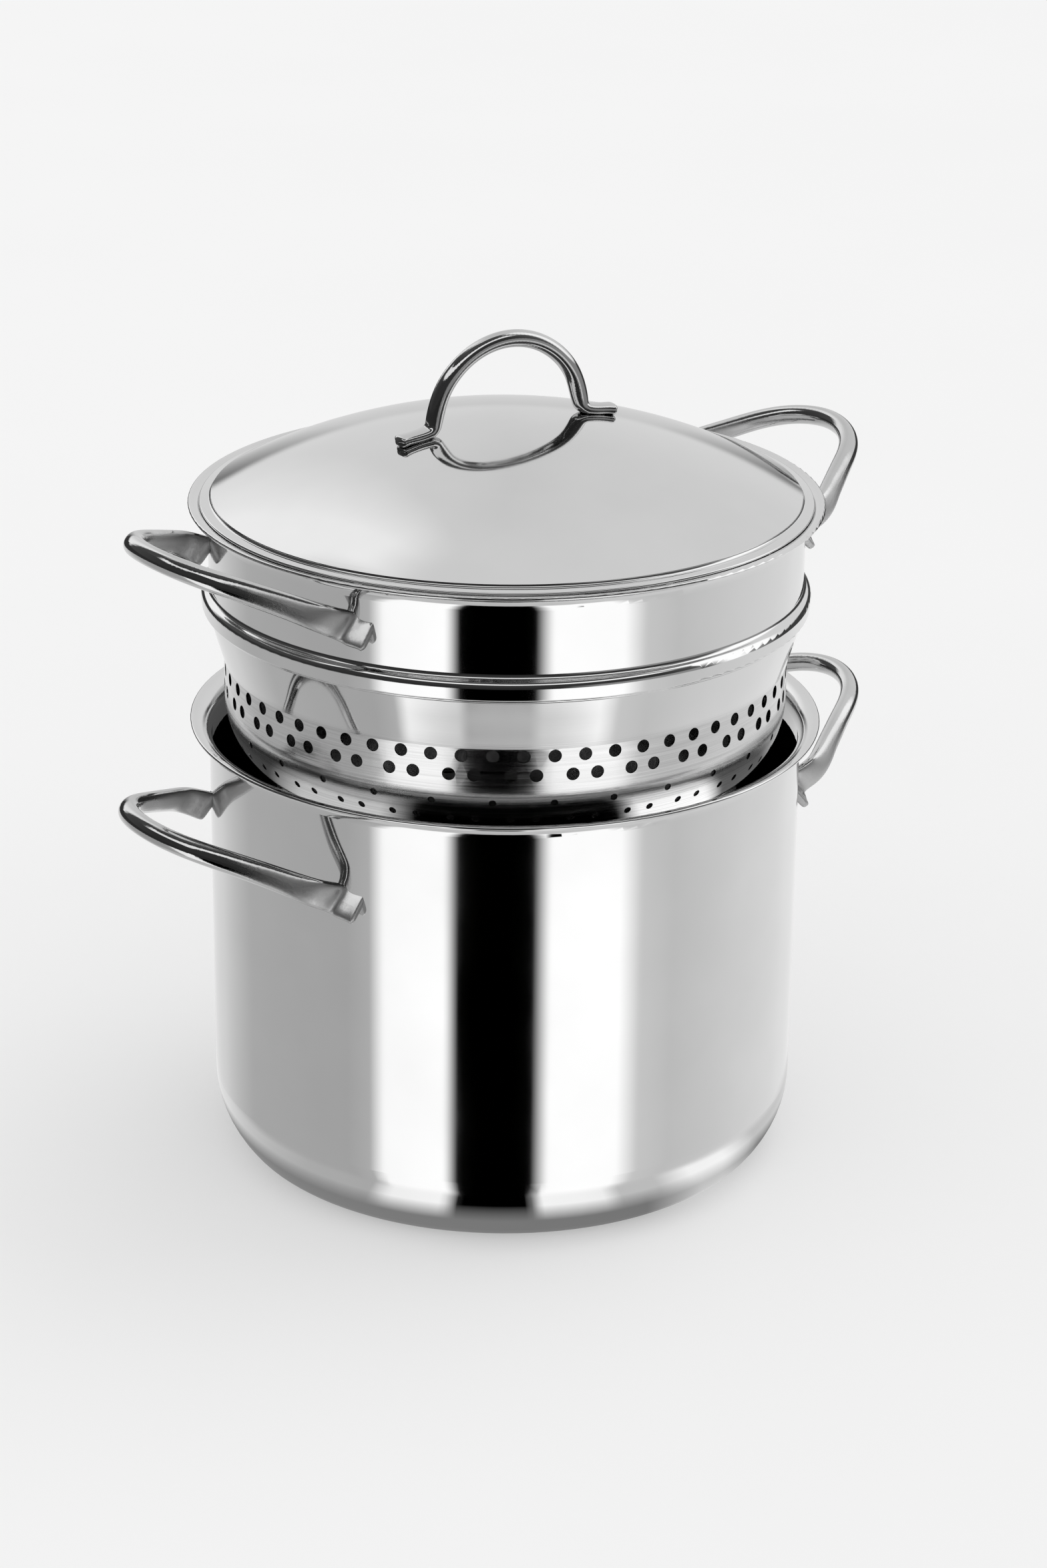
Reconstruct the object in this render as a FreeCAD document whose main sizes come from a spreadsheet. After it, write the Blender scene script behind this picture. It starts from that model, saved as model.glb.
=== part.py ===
import FreeCAD, Part
import Sketcher
import os
from math import asin, atan2, cos, degrees, exp, pi, radians, sin, sqrt, tan

# A 24 cm stainless steel pasta pot: a deep pot, a perforated insert lifted out of its
# seat on the pot's flare, and a domed lid on the insert. The pot and the insert each have
# a pair of forged loop handles, and the lid has one arched handle. All seven welded or
# resting pieces share the pot's axis. The origin is the middle of the pot's base, +Z is
# up, and the pot's handles point along +X and -X.

# Every length is in millimetres and every angle in degrees.
SIZES = (
    ("sheet_thickness", 0.8, "steel sheet of the pot, the insert and the lid"),
    ("flare_radius", 7.8, "inner radius of the flared lips"),
    ("lip_bead_radius", 0.8, "rolled edge of the flared lips"),
    ("pot_inner_radius", 120.0, "inside of the pot's straight wall"),
    ("pot_height", 186.3, "from the base to the top of the lip"),
    ("pot_upper_corner_radius", 40.0, "upper arc of the bottom corner, outside"),
    ("pot_lower_corner_radius", 15.0, "lower arc of the bottom corner, outside"),
    ("pot_corner_split_angle", 39.0, "turn of the upper arc before the lower one"),
    ("insert_rise", 91.65, "from the pot's lip up to the insert's lip"),
    ("insert_turn", 2.0, "the insert's handles against the pot's"),
    ("band_depth", 33.1, "lip to the start of the shoulder"),
    ("shoulder_bend_radius", 2.28, "outer radius of the shoulder's first bend"),
    ("shoulder_turn", 66.0, "turn of each shoulder bend"),
    ("bead_face_height", 4.2, "straight face of the seat bead"),
    ("bead_taper", 0.3, "how far the bead's face leans in"),
    ("bead_round", 1.3, "rounded underside of the seat bead"),
    ("ledge_round", 1.0, "small round between the bead and the cone"),
    ("basket_clearance", 5.6, "gap between the basket wall and the pot wall"),
    ("crease_depth", 65.5, "lip to the crease at the top of the basket"),
    ("basket_height", 47.9, "crease to the bottom of the insert"),
    ("basket_corner_share", 0.6576, "bottom corner's outer radius against that height"),
    ("large_hole_diameter", 5.2, "holes of the two upper rows and the floor"),
    ("small_hole_diameter", 2.9, "holes of the two lower rows"),
    ("top_row_gap", 0.3, "crease to the edge of the single row of large holes"),
    ("large_pair_share", 0.2234, "row of large pairs, as a share of the way down the basket"),
    ("small_row_share", 0.4656, "single row of small holes, in the same way"),
    ("small_pair_share", 0.62, "row of small pairs, in the same way"),
    ("pair_half_angle", 2.45, "half the angle between the holes of a pair"),
    ("top_row_count", 60.0, "large holes in the top row"),
    ("pair_count", 30.0, "pairs in each row of pairs"),
    ("hole_turn", 4.0, "first pair of holes against a line square to the handles"),
    ("hole_cut_length", 9.0, "how far a hole's cut reaches in from outside the wall"),
    ("floor_hole_count", 6.0, "repeats of the floor's hole pattern"),
    ("floor_ring_share", 0.338, "inner ring of floor holes against the flat floor's radius"),
    ("lid_overlap", 3.3, "the lid's edge beyond the pot's inner wall"),
    ("lid_bead_radius", 0.7, "rolled edge of the lid"),
    ("lid_clearance", 0.15, "between the lid's edge and the flare it rests on"),
    ("dome_rise", 29.8, "from the dome's foot to its crown"),
    ("flange_width", 4.1, "from the dome's foot to the bead's middle"),
    ("crease_width", 0.9, "the small step at the dome's foot"),
    ("crease_rise", 1.4, "height of that step"),
    ("flange_rise", 0.45, "how far the flange rises towards the dome"),
    ("crease_radius", 1.5, "hollow round of the step at the dome's foot"),
    ("handle_rod", 8.0, "round rod of the loop handles"),
    ("pot_handle_reach", 49.6, "pot's wall to the middle of the rod at the far end"),
    ("insert_handle_reach", 46.8, "insert's wall to the middle of the rod at the far end"),
    ("handle_tilt", 20.0, "upward slope of the loops"),
    ("arm_slant", 35.2, "how far the arms close in as they go out"),
    ("arm_root_lean", 5.0, "how far the arms spread where they leave the wall"),
    ("arm_root_length", 3.0, "straight start of the arm above the pad"),
    ("knee_radius", 14.0, "bend between the root and the straight arm"),
    ("pad_spread", 56.6, "from the handle's axis across to the middle of a welded pad"),
    ("pad_length", 7.4, "welded end of a loop handle"),
    ("pad_bend_radius", 4.2, "bend between the pad and the arm"),
    ("blade_height", 13.0, "height of the flattened ends"),
    ("blade_thickness", 3.6, "thickness of the flattened ends"),
    ("blade_fade", 27.0, "length over which the flattening fades"),
    ("blade_drop", 4.0, "how far the flattened ends hang below the loop"),
    ("blade_corner", 1.5, "rounded corners of the tips"),
    ("blade_lean", 44.0, "how far the flattened ends lean back"),
    ("pot_handle_drop", 32.2, "pot's lip to its handles at the wall"),
    ("insert_handle_drop", 12.0, "insert's lip to its handles at the wall"),
    ("pot_left_lift", 1.0, "how much higher the pot's left handle is welded"),
    ("pot_left_roll", 2.4, "slope of the pot's left handle along the wall"),
    ("insert_left_lift", 0.8, "how much higher the insert's left handle is welded"),
    ("insert_left_roll", 1.2, "slope of the insert's left handle along the wall"),
    ("lid_handle_rod", 7.0, "round rod of the lid's handle"),
    ("lid_handle_turn", -3.0, "lid handle against the pot's handles"),
    ("lid_arch_radius", 34.0, "arch of the lid's handle"),
    ("lid_arch_height", 32.7, "crown of the lid to the middle of the arch"),
    ("lid_foot_bend_radius", 4.2, "bend between the arch and its tabs"),
    ("lid_tab_length", 13.2, "straight welded tab"),
    ("lid_tab_width", 8.0, "width of the welded tab"),
    ("lid_tab_thickness", 4.6, "thickness of the welded tab"),
    ("lid_tab_fade", 4.0, "length over which the tab becomes round"),
    ("lid_tab_corner", 2.6, "rounded corners of the tabs' tips"),
    ("weld_sink", 0.2, "pads are cut this deep to the curve they are welded on"),
)

# Stations along a handle's rod: the longest straight step and the widest turn between
# two, and those across a rounded tip.
ROD_STEP = 8.0
ROD_TURN = 20.0
TIP_SHARES = (0.3, 0.7)
# How full a quarter of a rod's section is: a circle, a tab with round sides, and a flat
# blade with soft edges.
ROUND_FULLNESS = 0.5523
TAB_FULLNESS = 0.72
BLADE_FULLNESS = 0.92


class Size:
    """A number from the sheet, or worked out from it, with the expression that gives it."""

    def __init__(self, value, text):
        self.value = value
        self.text = text

    def __add__(self, other):
        return Size(self.value + other.value, f"({self.text} + {other.text})")

    def __sub__(self, other):
        return Size(self.value - other.value, f"({self.text} - {other.text})")

    def __mul__(self, other):
        return Size(self.value * other.value, f"({self.text} * {other.text})")

    def __truediv__(self, other):
        return Size(self.value / other.value, f"({self.text} / {other.text})")


def cosine(angle):
    return Size(cos(radians(angle.value)), f"cos({angle.text} * 1deg)")


def sine(angle):
    return Size(sin(radians(angle.value)), f"sin({angle.text} * 1deg)")


def root(square):
    return Size(sqrt(square.value), f"sqrt({square.text})")


def number(value):
    return Size(value, repr(value))


def leg(long_side, short_side):
    """The other leg of a right triangle with the hypotenuse long_side."""
    return root(long_side * long_side - short_side * short_side)


def make_sheet(document):
    """The spreadsheet of driving sizes, and each size by its name."""
    sheet = document.addObject("Spreadsheet::Sheet", "Sizes")
    sizes = {}
    for row, (name, value, meaning) in enumerate(SIZES, start=1):
        sheet.set(f"A{row}", name)
        sheet.set(f"B{row}", str(value))
        sheet.set(f"C{row}", meaning)
        sheet.setAlias(f"B{row}", name)
    document.recompute()
    for name, value, meaning in SIZES:
        sizes[name] = Size(float(sheet.get(name)), f"{sheet.Name}.{name}")
    return sizes


def origin_feature(body, role):
    for feature in body.Origin.OriginFeatures:
        if feature.Role == role:
            return feature
    raise ValueError(role)


def new_sketch(body, name, role):
    sketch = body.newObject("Sketcher::SketchObject", name)
    sketch.AttachmentSupport = [(origin_feature(body, role), "")]
    sketch.MapMode = "FlatFace"
    return sketch


def bind(sketch, index, size):
    sketch.setExpression(f"Constraints[{index}]", size.text)


def pin_point(sketch, edge, end, across, up):
    """Hold a point of a sketch at two sizes; a size of None puts it on the axis."""
    if across is None:
        sketch.addConstraint(Sketcher.Constraint("PointOnObject", edge, end, -2))
    else:
        index = sketch.addConstraint(
            Sketcher.Constraint("DistanceX", -1, 1, edge, end, across.value))
        bind(sketch, index, across)
    if up is None:
        sketch.addConstraint(Sketcher.Constraint("PointOnObject", edge, end, -1))
    else:
        index = sketch.addConstraint(
            Sketcher.Constraint("DistanceY", -1, 1, edge, end, up.value))
        bind(sketch, index, up)


def arc_between(start, end, radius, turn):
    """The short arc from start to end; turn is 1 for counter-clockwise and -1 for clockwise."""
    chord = end - start
    half = chord.Length / 2
    side = FreeCAD.Vector(-chord.y, chord.x, 0).normalize() * turn
    centre = (start + end) * 0.5 + side * sqrt(max(radius * radius - half * half, 0))
    first = atan2(start.y - centre.y, start.x - centre.x)
    last = atan2(end.y - centre.y, end.x - centre.x)
    if turn < 0:
        first, last = last, first
    if last < first:
        last += 2 * pi
    circle = Part.Circle(centre, FreeCAD.Vector(0, 0, 1), radius)
    return Part.ArcOfCircle(circle, first, last)


def revolved_body(document, label, outline):
    """A body turned from a closed outline.

    Each entry of the outline is a point (across, up) and the edge to the next point: None
    for a straight one, or (radius, turn) for an arc.
    """
    body = document.addObject("PartDesign::Body", label)
    body.Label = label
    sketch = new_sketch(body, f"{label}_outline", "XZ_Plane")
    points = []
    for across, up, edge in outline:
        x = 0.0 if across is None else across.value
        y = 0.0 if up is None else up.value
        points.append(FreeCAD.Vector(x, y, 0))
    ends = []
    for index, (across, up, edge) in enumerate(outline):
        start = points[index]
        end = points[(index + 1) % len(points)]
        if edge is None:
            sketch.addGeometry(Part.LineSegment(start, end), False)
            ends.append((1, 2))
        else:
            radius, turn = edge
            sketch.addGeometry(arc_between(start, end, radius.value, turn), False)
            ends.append((1, 2) if turn > 0 else (2, 1))
    for index in range(len(outline)):
        after = (index + 1) % len(outline)
        sketch.addConstraint(
            Sketcher.Constraint("Coincident", index, ends[index][1], after, ends[after][0]))
    for index, (across, up, edge) in enumerate(outline):
        pin_point(sketch, index, ends[index][0], across, up)
        if edge is not None:
            at = sketch.addConstraint(
                Sketcher.Constraint("Radius", index, edge[0].value))
            bind(sketch, at, edge[0])
    document.recompute()
    revolution = body.newObject("PartDesign::Revolution", f"{label}_revolution")
    revolution.Profile = (sketch, [""])
    revolution.ReferenceAxis = (sketch, ["V_Axis"])
    revolution.Angle = 360.0
    sketch.Visibility = False
    document.recompute()
    return body


def hole_rows(document, body, name, role, start, reach, holes, count):
    """Round holes, repeated round the axis.

    The cuts begin at start from the sketch's plane and reach back towards it, so that they
    pass one wall only.
    """
    volume = body.Shape.Volume
    faces = len(body.Shape.Faces)
    sketch = new_sketch(body, f"{name}_centres", role)
    sketch.setExpression(".AttachmentOffset.Base.z", start.text)
    for across, up, diameter in holes:
        x = 0.0 if across is None else across.value
        y = 0.0 if up is None else up.value
        centre = FreeCAD.Vector(x, y, 0)
        circle = Part.Circle(centre, FreeCAD.Vector(0, 0, 1), diameter.value / 2)
        edge = sketch.addGeometry(circle, False)
        pin_point(sketch, edge, 3, across, up)
        at = sketch.addConstraint(
            Sketcher.Constraint("Diameter", edge, diameter.value))
        bind(sketch, at, diameter)
    document.recompute()
    pocket = body.newObject("PartDesign::Pocket", f"{name}_cut")
    pocket.Profile = (sketch, [""])
    pocket.Type = "Length"
    pocket.setExpression("Length", reach.text)
    pattern = body.newObject("PartDesign::PolarPattern", f"{name}_pattern")
    pattern.Originals = [pocket]
    pattern.Axis = (origin_feature(body, "Z_Axis"), [""])
    pattern.Angle = 360.0
    pattern.setExpression("Occurrences", count.text)
    body.Tip = pattern
    document.recompute()
    made = len(body.Shape.Faces) - faces
    if body.Shape.Volume >= volume or made < len(holes) * count.value:
        raise ValueError(f"{name}: only {made} new faces")


def flared_lip(wall_radius, top, sizes):
    """The outline from the outside of a wall round its rolled lip to the inside.

    The wall's inner radius and the height of the lip's top are given.
    """
    sheet = sizes["sheet_thickness"]
    flare = sizes["flare_radius"]
    bead = sizes["lip_bead_radius"]
    outside = wall_radius + sheet
    under = flare - sheet
    start = top - flare
    edge = wall_radius + flare
    level = top - bead
    meet_down = bead * bead / (under + under)
    meet_in = leg(bead, meet_down)
    return [
        (outside, start, (under, -1)),
        (edge - meet_in, start + under - meet_down, (bead, 1)),
        (edge, level - bead, (bead, 1)),
        (edge + bead, level, (bead, 1)),
        (edge, top, (flare, 1)),
        (wall_radius, start, None),
    ]


def make_pot(document, sizes):
    """A deep pot with a two-arc bottom corner and a flared, rolled lip."""
    sheet = sizes["sheet_thickness"]
    wall = sizes["pot_inner_radius"]
    outside = wall + sheet
    upper = sizes["pot_upper_corner_radius"]
    lower = sizes["pot_lower_corner_radius"]
    split = sizes["pot_corner_split_angle"]
    rise = (upper - lower) * sine(split) + lower
    middle = outside - upper
    flat = middle + (upper - lower) * cosine(split)
    outline = [
        (None, None, None),
        (flat, None, (lower, 1)),
        (flat + lower * cosine(split), lower - lower * sine(split), (upper, 1)),
        (outside, rise, None),
    ]
    outline += flared_lip(wall, sizes["pot_height"], sizes)
    inner_lower = lower - sheet
    outline += [
        (wall, rise, (upper - sheet, -1)),
        (flat + inner_lower * cosine(split), lower - inner_lower * sine(split), (inner_lower, -1)),
        (flat, sheet, None),
        (None, sheet, None),
    ]
    return revolved_body(document, "pot_body", outline)


def insert_levels(sizes):
    """The radii and heights that the insert, its holes and its placement share."""
    basket_height = sizes["basket_height"]
    depth = sizes["crease_depth"] + basket_height
    band = sizes["pot_inner_radius"]
    bend = sizes["shoulder_bend_radius"]
    turn = sizes["shoulder_turn"]
    both = bend + bend + sizes["sheet_thickness"]
    step = both * (number(1.0) - cosine(turn))
    fall = both * sine(turn)
    shoulder = depth - sizes["band_depth"]
    bead = band + step
    basket = sizes["pot_inner_radius"] - sizes["basket_clearance"]
    corner = basket_height * sizes["basket_corner_share"]
    return {"depth": depth, "band": band, "shoulder": shoulder, "bead": bead,
            "bead_top": shoulder - fall, "basket": basket, "corner": corner}


def make_insert(document, sizes):
    """The perforated insert: a flared band, a seat bead, a cone and a basket with holes."""
    sheet = sizes["sheet_thickness"]
    level = insert_levels(sizes)
    turn = sizes["shoulder_turn"]
    bend = sizes["shoulder_bend_radius"]
    corner = level["corner"]
    crease = sizes["basket_height"]
    bead_round = sizes["bead_round"]
    ledge = sizes["ledge_round"]
    depth = level["depth"]
    band = level["band"]
    wall = band - sheet
    basket = level["basket"]
    flat = basket - corner
    shoulder = level["shoulder"]
    bead = level["bead"]
    bead_top = level["bead_top"]
    face_foot = bead_top - sizes["bead_face_height"]
    under = bead - sizes["bead_taper"]
    ledge_out = under - bead_round
    ledge_top = face_foot - bead_round
    cone = ledge_out - ledge
    cone_top = ledge_top - ledge
    middle_out = band + bend * (number(1.0) - cosine(turn))
    middle_level = shoulder - bend * sine(turn)
    inner_bend = bend + sheet
    inner_middle = wall + inner_bend * (number(1.0) - cosine(turn))
    inner_level = shoulder - inner_bend * sine(turn)
    outline = [
        (None, None, None),
        (flat, None, (corner, 1)),
        (basket, corner, None),
        (basket, crease, None),
        (cone, cone_top, (ledge, 1)),
        (ledge_out, ledge_top, (bead_round, 1)),
        (under, face_foot, None),
        (bead, bead_top, (inner_bend, 1)),
        (middle_out, middle_level, (bend, -1)),
        (band, shoulder, None),
    ]
    outline += flared_lip(wall, depth, sizes)
    outline += [
        (wall, shoulder, (inner_bend, 1)),
        (inner_middle, inner_level, (bend, -1)),
        (bead - sheet, bead_top, None),
        (under - sheet, face_foot, None),
        (ledge_out - sheet, ledge_top + sheet, None),
        (cone - sheet, cone_top + sheet, None),
        (basket - sheet, crease, None),
        (basket - sheet, corner, (corner - sheet, -1)),
        (flat, sheet, None),
        (None, sheet, None),
    ]
    body = revolved_body(document, "pasta_insert", outline)
    large = sizes["large_hole_diameter"]
    small = sizes["small_hole_diameter"]
    pair = sizes["pair_half_angle"]
    turn = sizes["hole_turn"]
    half_pitch = number(180.0) / sizes["pair_count"]
    middle = basket * sine(turn)
    before = basket * sine(turn - pair)
    after = basket * sine(turn + pair)
    between = basket * sine(turn + half_pitch)
    outside = basket + sheet
    reach = sizes["hole_cut_length"]
    top_row = crease - sizes["top_row_gap"] - large / number(2.0)
    large_pair = crease - crease * sizes["large_pair_share"]
    small_row = crease - crease * sizes["small_row_share"]
    small_pair = crease - crease * sizes["small_pair_share"]
    hole_rows(document, body, "top_row", "XZ_Plane", outside, reach,
              [(middle, top_row, large)], sizes["top_row_count"])
    hole_rows(document, body, "pair_rows", "XZ_Plane", outside, reach, [
        (before, large_pair, large),
        (after, large_pair, large),
        (between, small_row, small),
        (before, small_pair, small),
        (after, small_pair, small),
    ], sizes["pair_count"])
    ring = flat * sizes["floor_ring_share"]
    outer = ring + ring
    hole_rows(document, body, "floor_holes", "XY_Plane", reach, reach + sheet, [
        (ring, None, large),
        (outer, None, large),
        (outer * cosine(number(30.0)), outer * sine(number(30.0)), large),
    ], sizes["floor_hole_count"])
    return body


def lid_levels(sizes):
    """The radii and heights that the lid and its handle share."""
    bead = sizes["lid_bead_radius"]
    rise = sizes["dome_rise"]
    middle = sizes["pot_inner_radius"] + sizes["lid_overlap"] - bead
    foot = middle - sizes["flange_width"]
    flange = bead + bead + sizes["flange_rise"]
    foot_level = flange + sizes["crease_rise"]
    dome = (foot * foot + rise * rise) / (rise + rise)
    return {"middle": middle, "foot": foot, "flange": flange, "foot_level": foot_level,
            "dome": dome, "height": foot_level + rise}


def make_lid(document, sizes):
    """The domed lid with a small step at the dome's foot, a flange and a rolled edge."""
    level = lid_levels(sizes)
    sheet = sizes["sheet_thickness"]
    bead = sizes["lid_bead_radius"]
    dome = level["dome"]
    height = level["height"]
    middle = level["middle"]
    foot = level["foot"]
    flange = level["flange"]
    crease = foot + sizes["crease_width"]
    inner_dome = dome - sheet
    inner_foot = foot - bead
    inner_drop = inner_dome - leg(inner_dome, inner_foot)
    under = bead + bead - sheet
    inside = leg(bead, bead - under)
    outline = [
        (middle, None, (bead, 1)),
        (middle + bead, bead, (bead, 1)),
        (middle, bead + bead, None),
        (crease, flange, (sizes["crease_radius"], -1)),
        (foot, level["foot_level"], (dome, 1)),
        (None, height, None),
        (None, height - sheet, (inner_dome, -1)),
        (inner_foot, height - sheet - inner_drop, None),
        (crease - bead, flange - sheet, None),
        (middle - inside, under, (bead, 1)),
    ]
    return revolved_body(document, "lid", outline)


class Path:
    """A flat path of lines and arcs, walked from its start, and sampled by length."""

    def __init__(self, across, out, heading):
        self.across = across
        self.out = out
        self.heading = heading
        self.samples = [(across, out, heading, 0.0)]

    def forward(self, distance):
        start = self.samples[-1][3]
        count = max(1, round(distance / ROD_STEP))
        for index in range(1, count + 1):
            length = distance * index / count
            point = (self.across + length * cos(self.heading), self.out + length * sin(self.heading))
            self.samples.append((point[0], point[1], self.heading, start + length))
        self.across, self.out = self.samples[-1][:2]

    def turn(self, radius, angle):
        """Turn left by angle (right if negative) on an arc."""
        start = self.samples[-1][3]
        side = 1 if angle > 0 else -1
        centre_across = self.across - side * radius * sin(self.heading)
        centre_out = self.out + side * radius * cos(self.heading)
        count = max(2, round(degrees(abs(angle)) / ROD_TURN))
        first = self.heading
        for index in range(1, count + 1):
            heading = first + angle * index / count
            across = centre_across + side * radius * sin(heading)
            out = centre_out - side * radius * cos(heading)
            self.samples.append((across, out, heading, start + radius * abs(angle) * index / count))
        self.across, self.out, self.heading = self.samples[-1][:3]


def section(middle, along, upward, half_thickness, half_height, fullness):
    """The poles of four curves that close round a rod: a circle, or a flat blade."""
    high = (upward - along * upward.dot(along)).normalize()
    wide = high.cross(along)
    corners = ((1, 0), (0, 1), (-1, 0), (0, -1))
    poles = []
    for (x0, y0), (x1, y1) in zip(corners, corners[1:] + corners[:1]):
        for x, y in ((x0, y0), (x0 + fullness * x1, y0 + fullness * y1),
                     (x1 + fullness * x0, y1 + fullness * y0)):
            poles.append(middle + wide * (x * half_thickness) + high * (y * half_height))
    return poles


def skinned(sections, stations):
    """A smooth solid through sections, each a list of poles that section returned."""
    lines = []
    for index in range(len(sections[0])):
        line = Part.BSplineCurve()
        line.interpolate(Points=[poles[index] for poles in sections], Parameters=stations)
        lines.append(line)
    faces = []
    for first in range(0, len(lines), 3):
        quarter = [lines[(first + index) % len(lines)] for index in range(4)]
        surface = Part.BSplineSurface()
        surface.buildFromPolesMultsKnots(
            [line.getPoles() for line in quarter], [4, 4], quarter[0].getMultiplicities(),
            [0, 1], quarter[0].getKnots(), False, False, 3, quarter[0].Degree)
        faces.append(surface.toShape())
    for poles in (sections[0], sections[-1]):
        edges = []
        for first in range(0, len(poles), 3):
            curve = Part.BezierCurve()
            curve.setPoles([poles[(first + index) % len(poles)] for index in range(4)])
            edges.append(curve.toShape())
        faces.append(Part.Face(Part.Wire(edges)))
    skin = Part.Compound(faces)
    skin.sewShape()
    solid = Part.Solid(skin.Shells[0])
    if solid.Volume < 0:
        solid.reverse()
    return solid


def forged_rod(points, flatness, thin, tall, rod, corner, upward, flat_fullness):
    """A solid rod through points, flattened towards both of its ends.

    flatness gives each point's share of the flattened form, and thin, tall and
    flat_fullness are the flattened section's thickness, height and squareness. corner
    rounds the two ends.
    """
    lengths = [0.0]
    for before, after in zip(points, points[1:]):
        lengths.append(lengths[-1] + (after - before).Length)
    sections = []
    for index, point in enumerate(points):
        before = points[max(index - 1, 0)]
        after = points[min(index + 1, len(points) - 1)]
        along = (after - before).normalize()
        share = flatness[index]
        from_end = min(lengths[index], lengths[-1] - lengths[index])
        inset = max(corner - from_end, 0.0)
        cut_back = corner - sqrt(corner * corner - inset * inset)
        height = rod + (tall - rod) * share - 2 * cut_back
        thickness = rod + (thin - rod) * share - cut_back
        fullness = ROUND_FULLNESS + (flat_fullness - ROUND_FULLNESS) * share
        sections.append(section(point, along, upward, thickness / 2, height / 2, fullness))
    return skinned(sections, lengths)


def mirrored_path(samples):
    """A half path from a tip to the middle, carried on to the other tip."""
    total = samples[-1][3]
    whole = [(across, out, length) for across, out, heading, length in samples]
    for across, out, heading, length in reversed(samples[:-1]):
        whole.append((-across, out, 2 * total - length))
    return whole


def walk_pad(path, distance, corner):
    """Walk a straight pad from its tip, with close stations over the rounded corners."""
    for share in TIP_SHARES:
        path.forward(corner * share)
    path.forward(distance - corner)


def loop_handle_shape(sizes, wall, handle_reach, roll):
    """A loop handle that points along +X, with its pads cut to a wall of the given radius.

    roll is the slope of the whole loop along the wall, in degrees.
    """
    value = {name: size.value for name, size in sizes.items()}
    lift = value["blade_thickness"] / 2 - value["weld_sink"]
    middle = asin(value["pad_spread"] / (wall + lift))
    heading = pi - middle
    half_pad = value["pad_length"] / 2
    lean_back = radians(value["blade_lean"])
    path = Path((wall + lift) * sin(middle) - half_pad * cos(heading),
                (wall + lift) * cos(middle) - wall - half_pad * sin(heading), heading)
    walk_pad(path, value["pad_length"], value["blade_corner"])
    lean = pi / 2 - radians(value["arm_root_lean"])
    path.turn(value["pad_bend_radius"], lean - path.heading)
    path.forward(value["arm_root_length"])
    slant = radians(value["arm_slant"])
    path.turn(value["knee_radius"], pi / 2 + slant - path.heading)
    # The end arc is centred on the handle's axis, so its radius follows the arm's length.
    share = (1 - sin(slant)) / cos(slant)
    gain = cos(slant) - sin(slant) * share
    path.forward((handle_reach - path.out - share * path.across) / gain)
    path.turn(path.across / cos(slant), pi / 2 - slant)
    points = []
    flatness = []
    whole = mirrored_path(path.samples)
    total = whole[-1][2]
    for across, out, length in whole:
        from_tip = max(min(length, total - length) - half_pad * 2, 0.0)
        share = exp(-from_tip / value["blade_fade"])
        level = out * tan(radians(value["handle_tilt"])) - across * tan(radians(roll))
        level -= value["blade_drop"] * share
        points.append(FreeCAD.Vector(wall + out, across, level))
        flatness.append(share)
    rod = forged_rod(points, flatness, value["blade_thickness"], value["blade_height"],
                     value["handle_rod"], value["blade_corner"],
                     FreeCAD.Vector(-sin(lean_back), 0, cos(lean_back)), BLADE_FULLNESS)
    reach = value["blade_height"] + handle_reach
    cutter = Part.makeCylinder(wall, 2 * reach, FreeCAD.Vector(0, 0, -reach))
    return rod.cut(cutter)


def lid_handle_shape(sizes):
    """The arched lid handle along X, with its tabs cut to the dome."""
    value = {name: size.value for name, size in sizes.items()}
    crown = lid_levels(sizes)["height"].value
    dome = lid_levels(sizes)["dome"].value
    arch = value["lid_arch_radius"]
    bend = value["lid_foot_bend_radius"]
    arch_level = crown + value["lid_arch_height"] - arch
    foot = arch + bend
    slope = atan2(foot, dome)
    lift = value["lid_tab_thickness"] / 2 - value["weld_sink"]
    # The tab runs along the dome's slope at the foot, and the bend joins it to the arch.
    tab_across = (dome + lift) * sin(slope)
    tab_out = crown - dome + (dome + lift) * cos(slope)
    bend_out = tab_out + bend * cos(slope)
    rise = bend_out - arch_level
    bend_across = sqrt(foot * foot - rise * rise)
    path_start = (bend_across - bend * sin(slope) + value["lid_tab_length"] * cos(slope),
                  bend_out - bend * cos(slope) - value["lid_tab_length"] * sin(slope))
    path = Path(path_start[0], path_start[1], pi - slope)
    walk_pad(path, value["lid_tab_length"], value["lid_tab_corner"])
    leave = atan2(rise, bend_across)
    path.turn(bend, slope + leave - pi / 2)
    path.turn(arch, pi / 2 - leave)
    points = []
    flatness = []
    whole = mirrored_path(path.samples)
    total = whole[-1][2]
    for across, out, length in whole:
        from_tip = max(min(length, total - length) - value["lid_tab_length"], 0.0)
        share = exp(-(from_tip / value["lid_tab_fade"]) ** 2)
        points.append(FreeCAD.Vector(across, 0, out))
        flatness.append(share)
    rod = forged_rod(points, flatness, value["lid_tab_thickness"], value["lid_tab_width"],
                     value["lid_handle_rod"], value["lid_tab_corner"], FreeCAD.Vector(0, 1, 0),
                     TAB_FULLNESS)
    cutter = Part.makeSphere(dome, FreeCAD.Vector(0, 0, crown - dome))
    return rod.cut(cutter)


def add_shape(document, label, shape, level, turn):
    """A piece with its own placement, turned about the axis and set at a height."""
    feature = document.addObject("Part::Feature", label)
    feature.Label = label
    feature.Shape = shape
    feature.Placement = FreeCAD.Placement(
        FreeCAD.Vector(0, 0, level), FreeCAD.Rotation(FreeCAD.Vector(0, 0, 1), turn))
    return feature


def place_body(body, level, turn):
    body.setExpression(".Placement.Base.z", level.text)
    body.setExpression(".Placement.Rotation.Angle", f"{turn.text} * 1deg")
    body.Placement = FreeCAD.Placement(
        FreeCAD.Vector(0, 0, level.value), FreeCAD.Rotation(FreeCAD.Vector(0, 0, 1), turn.value))


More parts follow.
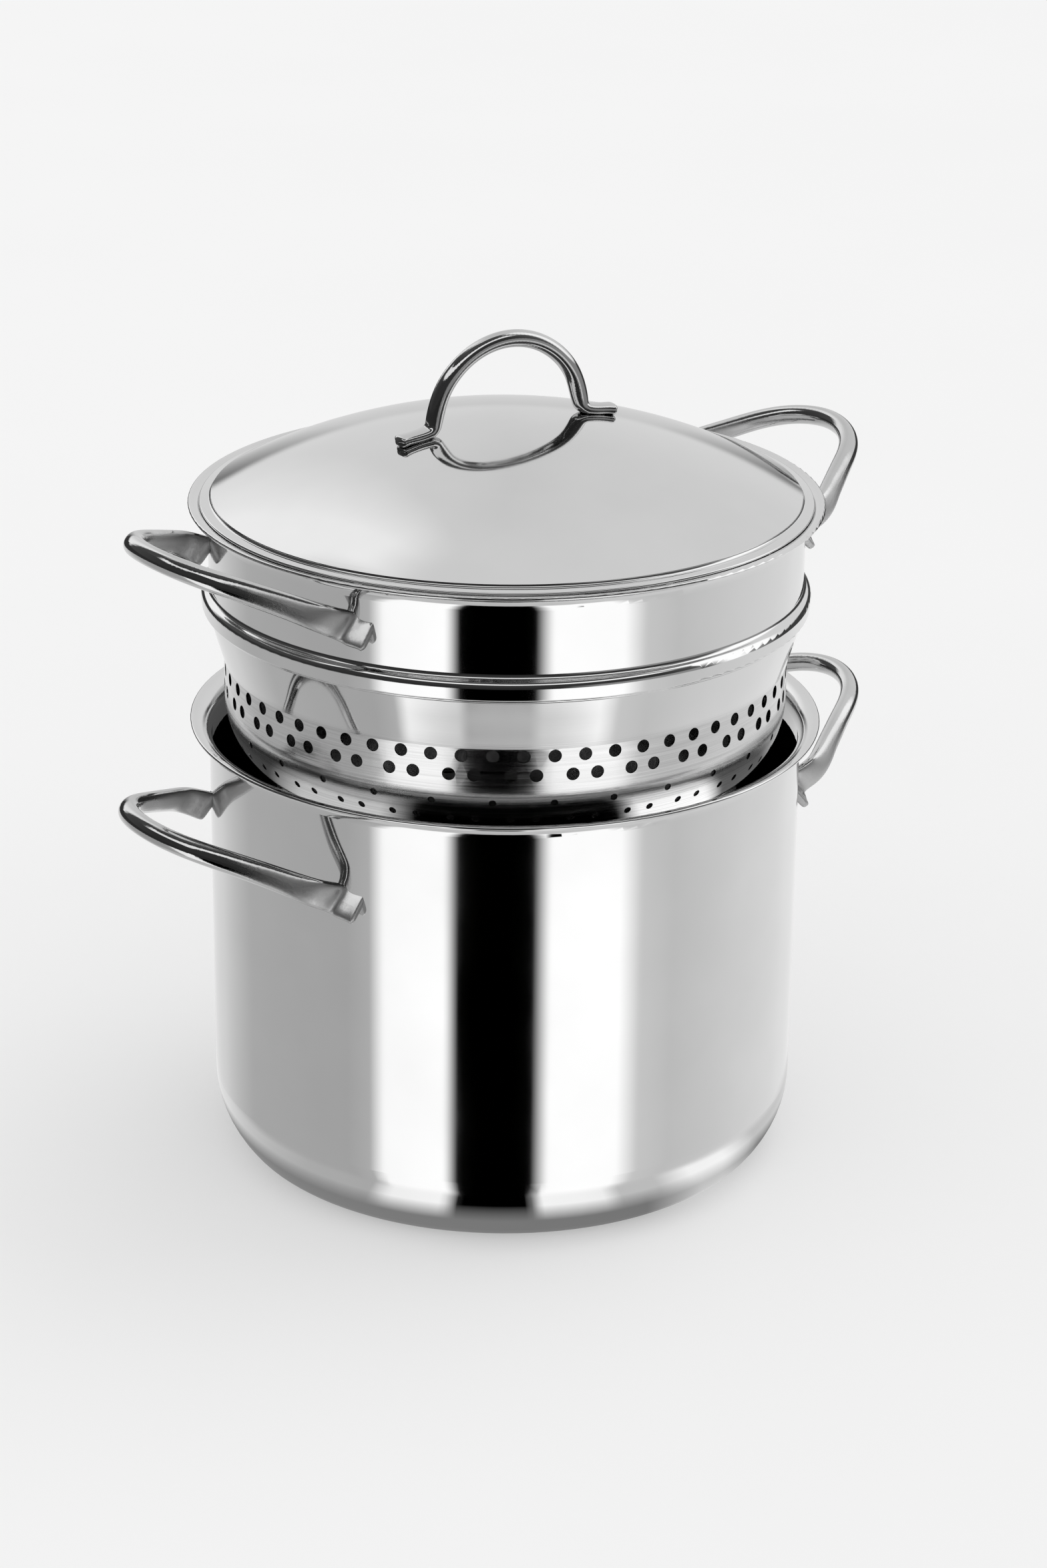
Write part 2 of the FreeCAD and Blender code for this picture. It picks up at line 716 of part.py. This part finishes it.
def check(document, pieces):
    """Stop if any object failed, or any piece has no valid shape."""
    for feature in document.Objects:
        if "Invalid" in feature.State or "Error" in feature.State:
            raise ValueError(f"{feature.Name}: {feature.State}")
    for piece in pieces:
        if piece.Shape.isNull() or not piece.Shape.isValid():
            raise ValueError(f"{piece.Label}: no valid shape")


def main():
    document = FreeCAD.newDocument("pasta_pot")
    sizes = make_sheet(document)
    sheet = sizes["sheet_thickness"]
    insert_lip = sizes["pot_height"] + sizes["insert_rise"]
    insert_base = insert_lip - insert_levels(sizes)["depth"]
    flare = sizes["flare_radius"]
    lid_bead = sizes["lid_bead_radius"]
    lid_reach = flare + sizes["lid_clearance"] + lid_bead
    lid_inset = flare - sheet - sizes["lid_overlap"] + lid_bead
    lid_base = insert_lip - flare + leg(lid_reach, lid_inset) - lid_bead
    pot = make_pot(document, sizes)
    insert = make_insert(document, sizes)
    place_body(insert, insert_base, sizes["insert_turn"])
    lid = make_lid(document, sizes)
    place_body(lid, lid_base, sizes["lid_handle_turn"])
    document.recompute()
    pieces = [pot, insert, lid]
    value = {name: size.value for name, size in sizes.items()}
    walls = {"pot": value["pot_inner_radius"] + sheet.value, "insert": value["pot_inner_radius"]}
    lips = {"pot": value["pot_height"], "insert": insert_lip.value}
    turns = {"pot": 0.0, "insert": value["insert_turn"]}
    for owner in ("pot", "insert"):
        for side, half_turn in (("right", 0.0), ("left", 180.0)):
            lift = value[f"{owner}_left_lift"] if side == "left" else 0.0
            roll = value[f"{owner}_left_roll"] if side == "left" else 0.0
            shape = loop_handle_shape(sizes, walls[owner], value[f"{owner}_handle_reach"], roll)
            level = lips[owner] - value[f"{owner}_handle_drop"] + lift
            pieces.append(add_shape(document, f"{owner}_handle_{side}", shape, level,
                                    turns[owner] + half_turn))
    pieces.append(add_shape(document, "lid_handle", lid_handle_shape(sizes), lid_base.value,
                            sizes["lid_handle_turn"].value))
    document.recompute()
    check(document, pieces)
    os.makedirs("parts", exist_ok=True)
    for piece in pieces:
        piece.Shape.exportStep(f"parts/{piece.Label}.step")
        print(piece.Label, round(piece.Shape.Volume), "cubic millimetres",
              len(piece.Shape.Solids), "solid", piece.Shape.isValid())


main()
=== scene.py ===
"""Looks for the pasta pot: steel finishes, a pale floor, soft studio light and the camera."""
import math

import bpy
from mathutils import Matrix, Vector

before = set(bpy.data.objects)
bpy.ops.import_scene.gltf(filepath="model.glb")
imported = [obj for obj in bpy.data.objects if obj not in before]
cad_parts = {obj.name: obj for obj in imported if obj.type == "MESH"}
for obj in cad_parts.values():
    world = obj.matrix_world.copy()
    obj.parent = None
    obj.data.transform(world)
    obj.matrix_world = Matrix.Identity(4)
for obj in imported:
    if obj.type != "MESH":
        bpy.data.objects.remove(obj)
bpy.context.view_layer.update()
scene = bpy.context.scene
MM = 0.001

# Camera: where it stands is given by its bearing round the pot, its reach and its height.
CAMERA_BEARING = math.radians(236.3)
CAMERA_REACH = 1.5196
CAMERA_HEIGHT = 0.7518
AIM_HEIGHT = 0.1535
CAMERA_ROLL = math.radians(0.5)
LENS = 90.84
SENSOR_WIDTH = 36
SHIFT = 0.0122

# The insert is brushed below BRUSH_TOP. The middle of its sheet turns round a corner with this
# centre (distance from the axis, height) and radius, and INSIDE_EDGE softens where the painted
# shade inside begins.
BRUSH_TOP = 213.7 * MM
BRUSH_EDGE = 1.5 * MM
CORNER_CENTRE = (82.9 * MM, 196.05 * MM)
CORNER_MIDDLE = 31.1 * MM
INSIDE_EDGE = 0.2 * MM

# The loop handles' grinding fades between these distances from the axis. The lid's handle,
# which isn't ground, lies within LID_REACH of it.
BLADE_REACH = (138 * MM, 162 * MM)
LID_REACH = 100 * MM

# The studio, seen only in the metal. Cards and soft boxes fill a dome. Angles go round the pot
# from the camera's side, positive to the camera's right, and tones from 0, black, to 1, white.
CARD_LIGHT = 1.45
DOME_REACH = 3.0
DOME_HEIGHT = 150 * MM
WALL_TONES = [
    (-180, 0.60), (-142, 0.55), (-115, 0.38), (-62, 0.35), (-52, 0.40), (-46, 0.95), (-22, 1.0),
    (-17.2, 0.0), (11.6, 0.0), (17.8, 1.0), (45, 1.0), (54, 0.55), (68, 0.50), (104, 0.60),
    (142, 0.65), (180, 0.60)]
HORIZON_TONES = [
    (-180, 0.5), (-172, 0.5), (-160, 0.03), (20, 0.02), (34, 0.22), (108, 0.25), (122, 0.04),
    (160, 0.04), (172, 0.5), (180, 0.5)]
CEILING_TONES = [
    (-180, 0.57), (-165, 0.60), (-150, 0.82), (-140, 0.84), (-130, 0.06), (-60, 0.03),
    (60, 0.03), (84, 0.1), (94, 1.0), (116, 1.0), (124, 0.62), (160, 0.60), (180, 0.57)]
STRIP_TONES = [
    (-180, 0.57), (-165, 0.60), (-150, 0.82), (-140, 0.84), (-130, 0.06), (-96, 0.06), (-84, 1.0),
    (70, 1.0), (78, 0.15), (94, 1.0), (116, 1.0), (124, 0.62), (160, 0.60), (180, 0.57)]
OVERHEAD_TONES = [(-180, 0.6), (-125, 0.6), (-105, 0.06), (105, 0.06), (125, 0.6), (180, 0.6)]
GROUND_TONES = [(-180, 0.52), (-60, 0.5), (0, 0.46), (60, 0.58), (180, 0.52)]
# Where each set of tones takes over, by degrees above the horizon.
HORIZON_SHARE = [(-90, 0.0), (-13, 0.0), (-9, 1.0), (90, 1.0)]
CEILING_SHARE = [(-90, 0.0), (6, 0.0), (11, 1.0), (90, 1.0)]
STRIP_SHARE = [(-90, 0.0), (40, 0.0), (43, 0.85), (54, 0.85), (57, 0.0), (90, 0.0)]
OVERHEAD_SHARE = [(-90, 0.0), (58, 0.0), (72, 1.0), (90, 1.0)]
GROUND_SHARE = [(-90, 1.0), (-51.5, 1.0), (-47, 0.0), (90, 0.0)]
DOME_LAYERS = (
    (HORIZON_SHARE, HORIZON_TONES), (CEILING_SHARE, CEILING_TONES),
    (STRIP_SHARE, STRIP_TONES), (OVERHEAD_SHARE, OVERHEAD_TONES),
    (GROUND_SHARE, GROUND_TONES))
# A glowing disc of near floor, seen only in the metal, which the pot's bottom corner mirrors,
# with tones by the place
# on the floor: a painted reflection with a painted highlight. It clears over FOOT_REACH, and over
# UNDER_REACH it darkens to painted shade, the pot's own shadow.
FOOT_TONES = [
    (-180, 0.6), (-90, 0.6), (-50, 0.4), (-31, 0.38), (-26, 0.85), (-13.4, 0.9), (-9.8, 0.0),
    (6.6, 0.0), (9.6, 0.9), (24, 0.85), (28, 0.5), (38, 0.5), (48, 0.9), (60, 0.9), (74, 0.5),
    (180, 0.5)]
UNDER_TONES = [
    (-180, 0.24), (-60, 0.2), (34, 0.17), (50, 0.5), (58, 0.5), (76, 0.17), (180, 0.17)]
FOOT_REACH = (142 * MM, 156 * MM)
UNDER_REACH = (117 * MM, 132 * MM)
NEAR_FLOOR_LEVEL = -0.05 * MM
NEAR_FLOOR_MARGIN = 4 * MM
# A glowing ring laid in the pot, seen only in metal: a painted reflection of light in the pot,
# which the lower rows of the basket mirror.
POT_REFLECTION_TONES = [
    (-180, 0.1), (-95, 0.05), (-64, 0.05), (-50, 0.5), (-28, 0.55), (-20, 0.0), (26, 0.0),
    (31, 1.0), (50, 1.0), (56, 0.1), (76, 0.1), (95, 0.5), (110, 0.4), (180, 0.1)]
POT_REFLECTION_LEVEL = 172 * MM
POT_REFLECTION_REACH = (104.5 * MM, 119.8 * MM)
ROUND_STEPS = 96

# Floor and light. The world gives most of an even daylight level and one wide lamp the rest.
FLOOR_HALF = 12.0
FLOOR_LEVEL = -0.1 * MM
FLOOR_GLOW = 0.4
WORLD_LIGHT = 0.88
LAMP_LIGHT = 0.60
LAMP_WIDTH = math.radians(45)
LAMP_BEARING = CAMERA_BEARING + math.radians(125)
LAMP_RISE = math.radians(58)


def linear(colour):
    """Turns an sRGB hex colour into linear red, green, blue and alpha."""
    channels = [int(colour[place:place + 2], 16) / 255 for place in (1, 3, 5)]
    turned = [c / 12.92 if c <= 0.04045 else ((c + 0.055) / 1.055) ** 2.4 for c in channels]
    return (*turned, 1.0)


def add(tree, kind, inputs=None, **settings):
    """Adds a node with its settings; each input takes a value or the output that feeds it."""
    made = tree.nodes.new(kind)
    for name, value in settings.items():
        setattr(made, name, value)
    for name, value in (inputs or {}).items():
        if isinstance(value, bpy.types.NodeSocket):
            tree.links.new(value, made.inputs[name])
        else:
            made.inputs[name].default_value = value
    return made


def blank(name):
    """A new material with an empty node tree."""
    material = bpy.data.materials.new(name)
    material.use_nodes = True
    material.node_tree.nodes.clear()
    return material, material.node_tree


def stops(tree, factor, tones, interpolation="LINEAR"):
    """A colour ramp; tones are (place from 0 to 1, grey or hex colour)."""
    ramp = add(tree, "ShaderNodeValToRGB", {"Fac": factor})
    band = ramp.color_ramp
    band.interpolation = interpolation
    while len(band.elements) < len(tones):
        band.elements.new(0.5)
    for element, (place, tone) in zip(band.elements, tones):
        element.position = place
        element.color = linear(tone) if isinstance(tone, str) else (tone, tone, tone, 1.0)
    return ramp.outputs["Color"]


def round_the_axis(tree):
    """Outputs for a point: its place, its distance from the axis, and its X, Y and Z."""
    where = add(tree, "ShaderNodeTexCoord").outputs["Object"]
    parts = add(tree, "ShaderNodeSeparateXYZ", {0: where})
    flat = add(tree, "ShaderNodeVectorMath", {0: where, 1: (1, 1, 0)}, operation="MULTIPLY")
    reach = add(tree, "ShaderNodeVectorMath", {0: flat.outputs[0]}, operation="LENGTH")
    return where, reach.outputs["Value"], parts.outputs


def rings(tree, spacing, along):
    """Noise drawn out round the axis: spacing is the line pitch and along the streak, in mm."""
    where, reach, parts = round_the_axis(tree)
    stretch = add(
        tree, "ShaderNodeVectorMath",
        {0: where, 1: (1 / (along * MM), 1 / (along * MM), 1 / (spacing * MM))},
        operation="MULTIPLY")
    across = add(tree, "ShaderNodeMath", {0: reach, 1: 1 / (spacing * MM)}, operation="MULTIPLY")
    return add(
        tree, "ShaderNodeTexNoise",
        {"Vector": stretch.outputs[0], "W": across.outputs[0], "Scale": 1.0, "Detail": 2.0,
         "Roughness": 0.6},
        noise_dimensions="4D").outputs["Fac"]


def blotches(tree, size):
    """Soft cloudy variation of about this size in mm, as handling leaves on bright metal."""
    where = add(tree, "ShaderNodeTexCoord").outputs["Object"]
    return add(
        tree, "ShaderNodeTexNoise",
        {"Vector": where, "Scale": 1 / (size * MM), "Detail": 3.0}).outputs["Fac"]


def polished_steel(name, colour, roughness, ring_pitch, ring_length, ring_bump):
    """Stainless steel with polishing lines; roughness runs from clean metal to handled metal."""
    material, tree = blank(name)
    cloud = blotches(tree, 45.0)
    rough = add(
        tree, "ShaderNodeMapRange",
        {"Value": cloud, "From Min": 0.35, "From Max": 0.7, "To Min": roughness[0],
         "To Max": roughness[1]})
    tint = stops(tree, cloud, [(0.3, colour[0]), (0.75, colour[1])])
    line = rings(tree, ring_pitch, ring_length)
    bump = add(tree, "ShaderNodeBump",
               {"Height": line, "Strength": ring_bump, "Distance": 0.02 * MM})
    shader = add(
        tree, "ShaderNodeBsdfPrincipled",
        {"Base Color": tint, "Roughness": rough.outputs["Result"],
         "Normal": bump.outputs["Normal"], "Metallic": 1.0})
    add(tree, "ShaderNodeOutputMaterial", {"Surface": shader.outputs["BSDF"]})
    return material


def straining_steel():
    """Drawn 18/10 stainless steel: a near mirror above, and below the cone brushed round and
    round, which spreads reflections up and down into soft grey streaks. A brush leaves lines
    of about 0.1 mm, drawn here 0.7 mm apart so that they show."""
    material, tree = blank("stainless steel, brushed where pierced")
    reach, parts = round_the_axis(tree)[1:]
    height = parts["Z"]
    brushed = add(
        tree, "ShaderNodeMapRange",
        {"Value": height, "From Min": BRUSH_TOP - BRUSH_EDGE, "From Max": BRUSH_TOP + BRUSH_EDGE,
         "To Min": 1.0, "To Max": 0.0}).outputs["Result"]
    cloud = blotches(tree, 40.0)
    line = rings(tree, 0.7, 60.0)
    bright = add(
        tree, "ShaderNodeMapRange",
        {"Value": cloud, "From Min": 0.35, "From Max": 0.7, "To Min": 0.05, "To Max": 0.08})
    # The brush bites deeper on the bottom corner.
    coarse = add(
        tree, "ShaderNodeMapRange",
        {"Value": height, "From Min": CORNER_CENTRE[1] - 8 * MM,
         "From Max": CORNER_CENTRE[1] + 4 * MM, "To Min": 0.2, "To Max": 0.14})
    streak = add(
        tree, "ShaderNodeMapRange",
        {"Value": line, "From Min": 0.3, "From Max": 0.7, "To Min": 0.8, "To Max": 1.3})
    matt = add(tree, "ShaderNodeMath", {0: streak.outputs["Result"], 1: coarse.outputs["Result"]},
               operation="MULTIPLY")
    rough = add(
        tree, "ShaderNodeMix",
        {"Factor": brushed, "A": bright.outputs["Result"], "B": matt.outputs["Value"]})
    streaks = stops(tree, line, [(0.3, "#C4C4C4"), (0.7, "#DCDCDC")])
    plain = stops(tree, cloud, [(0.3, "#DADADA"), (0.75, "#D5D5D5")])
    outside = add(tree, "ShaderNodeMix", {"Factor": brushed, 6: plain, 7: streaks},
                  data_type="RGBA").outputs[2]
    # Inside the basket the sheet is painted dark grey, a painted shade for the dim inside; its
    # mid surface runs down the wall and round the bottom corner.
    outward = add(tree, "ShaderNodeMath", {0: reach, 1: CORNER_CENTRE[0]}, operation="SUBTRACT")
    outward = add(tree, "ShaderNodeMath", {0: outward.outputs[0], 1: 0.0}, operation="MAXIMUM")
    downward = add(tree, "ShaderNodeMath", {0: height, 1: CORNER_CENTRE[1]}, operation="SUBTRACT")
    downward = add(tree, "ShaderNodeMath", {0: downward.outputs[0], 1: 0.0}, operation="MINIMUM")
    away = add(tree, "ShaderNodeCombineXYZ", {"X": outward.outputs[0], "Z": downward.outputs[0]})
    away = add(tree, "ShaderNodeVectorMath", {0: away.outputs[0]}, operation="LENGTH")
    inside = add(
        tree, "ShaderNodeMapRange",
        {"Value": away.outputs["Value"], "From Min": CORNER_MIDDLE - INSIDE_EDGE,
         "From Max": CORNER_MIDDLE + INSIDE_EDGE, "To Min": 1.0, "To Max": 0.0}).outputs["Result"]
    painted_shade_inside = add(tree, "ShaderNodeMath", {0: inside, 1: brushed}, operation="MULTIPLY")
    tint = add(tree, "ShaderNodeMix",
               {"Factor": painted_shade_inside.outputs[0], 6: outside, 7: linear("#484848")},
               data_type="RGBA").outputs[2]
    depth = add(
        tree, "ShaderNodeMapRange",
        {"Value": brushed, "To Min": 0.03, "To Max": 0.75})
    bump = add(tree, "ShaderNodeBump", {"Height": line, "Strength": depth.outputs["Result"],
                                        "Distance": 0.03 * MM})
    shader = add(
        tree, "ShaderNodeBsdfPrincipled",
        {"Base Color": tint, "Roughness": rough.outputs["Result"],
         "Normal": bump.outputs["Normal"], "Metallic": 1.0})
    add(tree, "ShaderNodeOutputMaterial", {"Surface": shader.outputs["BSDF"]})
    return material


def handle_steel():
    """Drop-forged stainless steel: the rod is buffed to sharp black and white lines, and the
    flat ends are ground to an even satin with a grain of about 0.6 mm."""
    material, tree = blank("stainless steel, forged and buffed")
    reach = round_the_axis(tree)[1]
    near = add(
        tree, "ShaderNodeMapRange",
        {"Value": reach, "From Min": BLADE_REACH[0], "From Max": BLADE_REACH[1], "To Min": 1.0,
         "To Max": 0.0}, interpolation_type="SMOOTHSTEP")
    on_loop = add(tree, "ShaderNodeMath", {0: reach, 1: LID_REACH}, operation="GREATER_THAN")
    near = add(tree, "ShaderNodeMath", {0: near.outputs["Result"], 1: on_loop.outputs[0]},
               operation="MULTIPLY")
    # Only the broad faces are ground, and they stand nearly upright.
    facing = add(tree, "ShaderNodeNewGeometry").outputs["Normal"]
    facing = add(tree, "ShaderNodeSeparateXYZ", {0: facing})
    level = add(tree, "ShaderNodeMath", {0: facing.outputs["Z"]}, operation="ABSOLUTE")
    upright = add(
        tree, "ShaderNodeMapRange",
        {"Value": level.outputs[0], "From Min": 0.45, "From Max": 0.7, "To Min": 1.0,
         "To Max": 0.0})
    satin = add(tree, "ShaderNodeMath", {0: near.outputs[0], 1: upright.outputs["Result"]},
                operation="MULTIPLY").outputs[0]
    grain = blotches(tree, 0.6)
    cloud = blotches(tree, 25.0)
    bright = add(
        tree, "ShaderNodeMapRange",
        {"Value": cloud, "From Min": 0.35, "From Max": 0.7, "To Min": 0.04, "To Max": 0.09})
    ground = add(
        tree, "ShaderNodeMapRange",
        {"Value": grain, "From Min": 0.3, "From Max": 0.7, "To Min": 0.4, "To Max": 0.56})
    rough = add(
        tree, "ShaderNodeMix",
        {"Factor": satin, "A": bright.outputs["Result"], "B": ground.outputs["Result"]})
    tint = stops(tree, cloud, [(0.3, "#CCCCCC"), (0.75, "#BEBEBE")])
    depth = add(tree, "ShaderNodeMapRange", {"Value": satin, "To Min": 0.0, "To Max": 0.35})
    bump = add(tree, "ShaderNodeBump", {"Height": grain, "Strength": depth.outputs["Result"],
                                        "Distance": 0.02 * MM})
    shader = add(
        tree, "ShaderNodeBsdfPrincipled",
        {"Base Color": tint, "Roughness": rough.outputs["Result"],
         "Normal": bump.outputs["Normal"], "Metallic": 1.0})
    add(tree, "ShaderNodeOutputMaterial", {"Surface": shader.outputs["BSDF"]})
    return material


# 18/10 stainless steel, rolled and mirror polished: a near mirror with hair-fine buffing
# lines round the wall. Real ones are finer than 0.1 mm, and these are 0.9 mm so that they show.
pot_finish = polished_steel("stainless steel, mirror polished", ("#DADADA", "#D5D5D5"),
                            (0.05, 0.08), 0.9, 120.0, 0.05)
# The same steel pressed to a dome and polished while it spins: the rings show a little more.
lid_finish = polished_steel("stainless steel, polished lid", ("#D8D8D8", "#D3D3D3"),
                            (0.045, 0.075), 0.8, 90.0, 0.10)
handle_finish = handle_steel()
insert_finish = straining_steel()

FINISHES = {
    "pot_body": pot_finish,
    "pot_handle_left": handle_finish,
    "pot_handle_right": handle_finish,
    "pasta_insert": insert_finish,
    "insert_handle_left": handle_finish,
    "insert_handle_right": handle_finish,
    "lid": lid_finish,
    "lid_handle": handle_finish,
}
for name, finish in FINISHES.items():
    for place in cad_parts[name].material_slots:
        place.material = finish


def studio_piece(name, corners, faces, material):
    """A mesh of the studio, and no part of the pot."""
    mesh = bpy.data.meshes.new(name)
    mesh.from_pydata(corners, [], faces)
    mesh.materials.append(material)
    piece = bpy.data.objects.new(name, mesh)
    scene.collection.objects.link(piece)
    return piece


def board_floor():
    """Painted board, matt white; its glow thins the shadow and keeps the ground even."""
    material, tree = blank("matt white board")
    tint = stops(tree, blotches(tree, 300.0), [(0.3, "#F4F4F4"), (0.7, "#F5F5F5")])
    matt = add(tree, "ShaderNodeBsdfDiffuse", {"Color": tint, "Roughness": 0.5})
    glow = add(tree, "ShaderNodeEmission", {"Color": tint, "Strength": 1.0})
    ray = add(tree, "ShaderNodeLightPath").outputs
    seen = add(tree, "ShaderNodeMath",
               {0: ray["Is Camera Ray"], 1: ray["Is Glossy Ray"]}, operation="MAXIMUM")
    seen = add(tree, "ShaderNodeMath",
               {0: seen.outputs[0], 1: ray["Is Transmission Ray"]}, operation="MAXIMUM")
    share = add(tree, "ShaderNodeMath", {0: seen.outputs[0], 1: FLOOR_GLOW}, operation="MULTIPLY")
    both = add(tree, "ShaderNodeMixShader",
               {0: share.outputs[0], 1: matt.outputs[0], 2: glow.outputs[0]})
    add(tree, "ShaderNodeOutputMaterial", {"Surface": both.outputs[0]})
    corners = [(side * FLOOR_HALF, end * FLOOR_HALF, FLOOR_LEVEL)
               for side, end in ((-1, -1), (1, -1), (1, 1), (-1, 1))]
    floor = studio_piece("studio_floor", corners, [(0, 1, 2, 3)], material)
    # The metal mirrors the painted near floor and the dome instead.
    floor.visible_glossy = False


def only_in_metal(piece):
    """Leaves a studio piece to be seen in bright metal and nowhere else."""
    piece.visible_camera = False
    piece.visible_diffuse = False
    piece.visible_shadow = False
    piece.visible_transmission = False
    piece.rotation_euler = (0, 0, CAMERA_BEARING)


def round_the_pot(tree, parts):
    """The angle round the pot, from 0 to 1."""
    turn = add(tree, "ShaderNodeMath", {0: parts["Y"], 1: parts["X"]}, operation="ARCTAN2")
    return add(
        tree, "ShaderNodeMapRange",
        {"Value": turn.outputs[0], "From Min": -math.pi, "From Max": math.pi}).outputs["Result"]


def by_turn(tree, round_way, tones):
    """Tones by degrees round the pot."""
    return stops(tree, round_way, [(0.5 + turned / 360, tone) for turned, tone in tones])


def by_rise(tree, up_way, shares):
    """Shares by degrees above the horizon."""
    return stops(tree, up_way, [(0.5 + angle / 180, share) for angle, share in shares], "EASE")


def blend_tones(tree, share, under, over):
    """One set of tones laid over another."""
    return add(tree, "ShaderNodeMix", {"Factor": share, 6: under, 7: over},
               data_type="RGBA").outputs[2]


def studio_dome():
    """The cards and soft boxes round the pot, as one dome."""
    material, tree = blank("studio cards and soft boxes")
    reach, parts = round_the_axis(tree)[1:]
    round_way = round_the_pot(tree, parts)
    rise = add(tree, "ShaderNodeMath", {0: parts["Z"], 1: reach}, operation="ARCTAN2")
    up_way = add(
        tree, "ShaderNodeMapRange",
        {"Value": rise.outputs[0], "From Min": -math.pi / 2, "From Max": math.pi / 2})
    tones = by_turn(tree, round_way, WALL_TONES)
    for shares, layer in DOME_LAYERS:
        share = by_rise(tree, up_way.outputs["Result"], shares)
        tones = blend_tones(tree, share, tones, by_turn(tree, round_way, layer))
    shine = add(tree, "ShaderNodeEmission", {"Color": tones, "Strength": CARD_LIGHT})
    add(tree, "ShaderNodeOutputMaterial", {"Surface": shine.outputs["Emission"]})
    bpy.ops.mesh.primitive_uv_sphere_add(segments=64, ring_count=32, radius=DOME_REACH,
                                         location=(0, 0, DOME_HEIGHT))
    dome = bpy.context.object
    dome.name = "studio_dome"
    dome.data.materials.append(material)
    only_in_metal(dome)


def painted_near_floor():
    """A glowing disc close round the pot, seen only in metal: the floor with painted shade and a
    painted highlight.
    """
    material, tree = blank("painted shade and highlight round the pot")
    reach, parts = round_the_axis(tree)[1:]
    round_way = round_the_pot(tree, parts)
    beyond = add(
        tree, "ShaderNodeMapRange",
        {"Value": reach, "From Min": UNDER_REACH[0], "From Max": UNDER_REACH[1]})
    tones = blend_tones(tree, beyond.outputs["Result"], by_turn(tree, round_way, UNDER_TONES),
                        by_turn(tree, round_way, FOOT_TONES))
    clear = add(
        tree, "ShaderNodeMapRange",
        {"Value": reach, "From Min": FOOT_REACH[0], "From Max": FOOT_REACH[1]},
        interpolation_type="SMOOTHSTEP")
    shine = add(tree, "ShaderNodeEmission", {"Color": tones, "Strength": CARD_LIGHT})
    hole = add(tree, "ShaderNodeBsdfTransparent")
    both = add(tree, "ShaderNodeMixShader",
               {0: clear.outputs["Result"], 1: shine.outputs[0], 2: hole.outputs[0]})
    add(tree, "ShaderNodeOutputMaterial", {"Surface": both.outputs[0]})
    bpy.ops.mesh.primitive_circle_add(
        vertices=ROUND_STEPS, radius=FOOT_REACH[1] + NEAR_FLOOR_MARGIN, fill_type="NGON",
        location=(0, 0, NEAR_FLOOR_LEVEL))
    disc = bpy.context.object
    disc.name = "painted_near_floor"
    disc.data.materials.append(material)
    only_in_metal(disc)


def painted_reflection_ring():
    """A glowing ring lying in the pot, below the basket's rounded corner: a painted reflection of
    light in the pot for the basket's lower rows.
    """
    material, tree = blank("painted reflection ring in the pot")
    parts = round_the_axis(tree)[2]
    tones = by_turn(tree, round_the_pot(tree, parts), POT_REFLECTION_TONES)
    shine = add(tree, "ShaderNodeEmission", {"Color": tones, "Strength": CARD_LIGHT})
    add(tree, "ShaderNodeOutputMaterial", {"Surface": shine.outputs[0]})
    corners = []
    quads = []
    for step in range(ROUND_STEPS):
        turned = 2 * math.pi * step / ROUND_STEPS
        for radius in POT_REFLECTION_REACH:
            corners.append((radius * math.cos(turned), radius * math.sin(turned), POT_REFLECTION_LEVEL))
        after = (step + 1) % ROUND_STEPS
        quads.append((2 * step, 2 * step + 1, 2 * after + 1, 2 * after))
    only_in_metal(studio_piece("painted_reflection_ring", corners, quads, material))


def soft_light():
    """Even daylight level from the world and one wide soft lamp."""
    world = bpy.data.worlds.new("studio")
    scene.world = world
    world.use_nodes = True
    sky = world.node_tree.nodes["Background"]
    sky.inputs["Color"].default_value = (1, 1, 1, 1)
    sky.inputs["Strength"].default_value = WORLD_LIGHT
    lamp = bpy.data.lights.new("wide soft lamp", "SUN")
    lamp.energy = LAMP_LIGHT
    lamp.angle = LAMP_WIDTH
    lamp_object = bpy.data.objects.new("wide_soft_lamp", lamp)
    lamp_object.visible_glossy = False
    scene.collection.objects.link(lamp_object)
    towards_lamp = Vector((math.cos(LAMP_BEARING) * math.cos(LAMP_RISE),
                           math.sin(LAMP_BEARING) * math.cos(LAMP_RISE), math.sin(LAMP_RISE)))
    lamp_object.rotation_mode = "QUATERNION"
    lamp_object.rotation_quaternion = towards_lamp.to_track_quat("Z", "Y")


def picture_camera():
    """The camera at the picture's viewing angle."""
    data = bpy.data.cameras.new("picture_camera")
    data.lens = LENS
    data.sensor_width = SENSOR_WIDTH
    data.shift_x = SHIFT
    data.clip_start = 0.01
    data.clip_end = 100
    camera = bpy.data.objects.new("picture_camera", data)
    scene.collection.objects.link(camera)
    place = Vector((CAMERA_REACH * math.cos(CAMERA_BEARING),
                    CAMERA_REACH * math.sin(CAMERA_BEARING), CAMERA_HEIGHT))
    ahead = (Vector((0, 0, AIM_HEIGHT)) - place).normalized()
    right = ahead.cross(Vector((0, 0, 1))).normalized()
    up = right.cross(ahead)
    tipped_right = right * math.cos(CAMERA_ROLL) + up * math.sin(CAMERA_ROLL)
    tipped_up = up * math.cos(CAMERA_ROLL) - right * math.sin(CAMERA_ROLL)
    turned = Matrix((tipped_right, tipped_up, -ahead)).transposed().to_4x4()
    camera.matrix_world = Matrix.Translation(place) @ turned
    scene.camera = camera


board_floor()
studio_dome()
painted_near_floor()
painted_reflection_ring()
soft_light()
picture_camera()
scene.view_settings.view_transform = "Standard"
